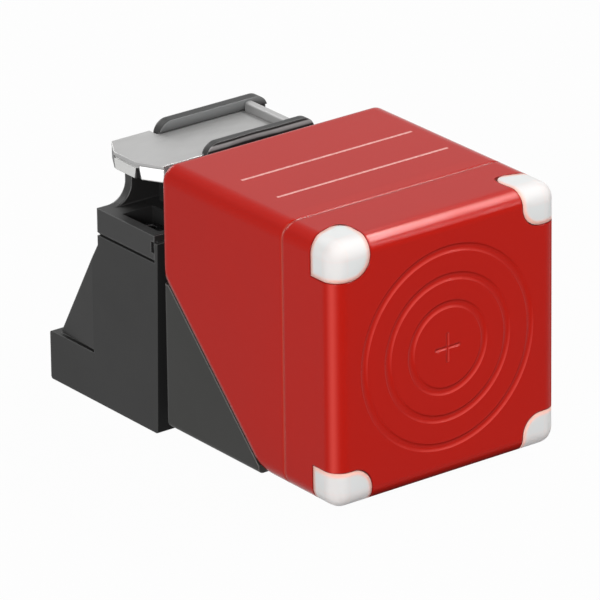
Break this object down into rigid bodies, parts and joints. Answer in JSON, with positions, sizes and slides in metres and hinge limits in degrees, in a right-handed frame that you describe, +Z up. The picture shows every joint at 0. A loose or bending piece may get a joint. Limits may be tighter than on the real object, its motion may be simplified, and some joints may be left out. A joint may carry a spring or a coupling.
{
  "type": "inductive proximity sensor",
  "caption": "Cube-shaped inductive proximity sensor with corner lenses and a turning head, on a quick-release bracket with a locking slide and a plug connector.",
  "frame": {"origin": "middle of the box around the part, on the foot's underside", "axes": "+Y back from the sensing face along the neck and the plug, +Z up from the foot, +X to the right seen from the front"},
  "size_m": [0.04, 0.0684, 0.042],
  "materials": {
    "red_plastic": "satin",
    "black_plastic": "satin",
    "lens_plastic": "translucent",
    "sheet_steel": "brushed",
    "screw_steel": "zinc plated",
    "ferrite": "matt",
    "pale_plastic": "matt",
    "copper_wire": "enamelled",
    "board": "satin",
    "chip_plastic": "matt",
    "lamp": "clear",
    "seal_rubber": "matt",
    "plated_brass": "nickel plated",
    "gold_contact": "gold plated"
  },
  "bodies": {
    "bracket": {"bracket_foot": "black_plastic", "latch_housing": "black_plastic", "housing_screws": "screw_steel"},
    "base": {"base_housing": "black_plastic", "swivel_seal": "seal_rubber", "thrust_washer": "pale_plastic", "spindle_circlip": "sheet_steel", "link_cable": "chip_plastic", "neck_grip_ring": "seal_rubber", "terminal_board": "board", "connector_shell": "plated_brass", "contact_carrier": "black_plastic", "contact_pins": "gold_contact"},
    "head": {"sensing_cap": "red_plastic", "head_shell": "red_plastic", "lens_upper_right": "lens_plastic", "lens_upper_left": "lens_plastic", "lens_lower_right": "lens_plastic", "lens_lower_left": "lens_plastic", "ferrite_core": "ferrite", "coil_bobbin": "pale_plastic", "sensing_coil": "copper_wire", "core_holder": "black_plastic", "oscillator_board": "board", "indicator_lamps": "lamp", "board_chips": "chip_plastic", "cable_socket": "pale_plastic"},
    "lock": {"lock_slide": "sheet_steel", "latch_blade": "sheet_steel"}
  },
  "joints": [
    {"name": "sensor_turn", "type": "hinge", "parent": "bracket", "child": "base", "pos_m": [0, 0, 0.022], "axis": [0, 1, 0], "range_deg": [-90, 180]},
    {"name": "head_turn", "type": "hinge", "parent": "base", "child": "head", "pos_m": [0, -0.01425, 0.022], "axis": [0, -0.7071, 0.7071], "range_deg": [0, 180]},
    {"name": "lock_slide", "type": "slide", "parent": "bracket", "child": "lock", "axis": [-1, 0, 0], "range_m": [0, 0.007]}
  ]
}
